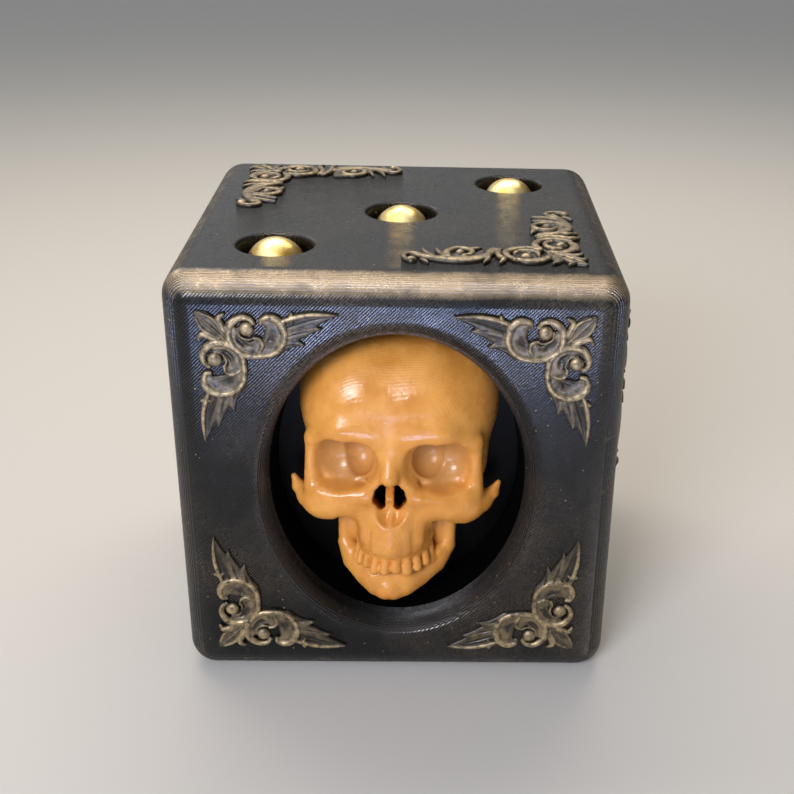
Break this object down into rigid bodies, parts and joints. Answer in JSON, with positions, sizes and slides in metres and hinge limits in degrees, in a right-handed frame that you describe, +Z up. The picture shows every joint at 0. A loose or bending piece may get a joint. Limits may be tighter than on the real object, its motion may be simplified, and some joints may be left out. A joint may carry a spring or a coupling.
{
  "type": "dice box with hinged lid",
  "caption": "Die-shaped storage box: an oval window with a skull in front, gold pips sunk in the other faces, scroll corners and a magnetic hinged rear lid.",
  "frame": {"origin": "middle of the underside of the cube, on the plane that it rests on", "axes": "+Z up, the skull window faces -Y, the hinged lid opens at +Y, +X is to the right seen from the front"},
  "size_m": [0.1029, 0.1029, 0.1015],
  "materials": {
    "black_print": "layered black print with worn bronze highlights",
    "black_satin_print": "satin black",
    "bone_print": "ochre bone colour, half gloss",
    "gold_pip": "bright gold paint",
    "brushed_gold_relief": "black with gold dry-brushed over the high parts",
    "steel_rod": "drawn rod",
    "magnet_nickel": "nickel plated"
  },
  "bodies": {
    "root": {"front_wall": "black_print", "body_shell": "black_print", "window_collar": "black_satin_print", "rear_frame": "black_print", "skull_backplate": "black_satin_print", "skull": "bone_print", "hinge_rod": "steel_rod", "magnet_frame_lower": "magnet_nickel", "magnet_frame_upper": "magnet_nickel", "pip_top_1": "gold_pip", "pip_top_2": "gold_pip", "pip_top_3": "gold_pip", "pip_right_1": "gold_pip", "pip_right_2": "gold_pip", "pip_left_1": "gold_pip", "pip_left_2": "gold_pip", "pip_left_3": "gold_pip", "pip_left_4": "gold_pip", "pip_left_5": "gold_pip", "pip_bottom_1": "gold_pip", "pip_bottom_2": "gold_pip", "pip_bottom_3": "gold_pip", "pip_bottom_4": "gold_pip", "scroll_front_top_left": "brushed_gold_relief", "scroll_front_top_right": "brushed_gold_relief", "scroll_front_bottom_left": "brushed_gold_relief", "scroll_front_bottom_right": "brushed_gold_relief", "scroll_top_front_right": "brushed_gold_relief", "scroll_top_back_left": "brushed_gold_relief", "scroll_right_front_top": "brushed_gold_relief", "scroll_right_back_bottom": "brushed_gold_relief"},
    "lid": {"lid": "black_print", "magnet_lid_lower": "magnet_nickel", "magnet_lid_upper": "magnet_nickel", "pip_lid_1": "gold_pip", "pip_lid_2": "gold_pip", "pip_lid_3": "gold_pip", "pip_lid_4": "gold_pip", "pip_lid_5": "gold_pip", "pip_lid_6": "gold_pip"}
  },
  "joints": [
    {"name": "lid_hinge", "type": "hinge", "parent": "root", "child": "lid", "pos_m": [-0.035, 0.046, 0.05], "axis": [0, 0, 1], "range_deg": [0, 95]}
  ]
}
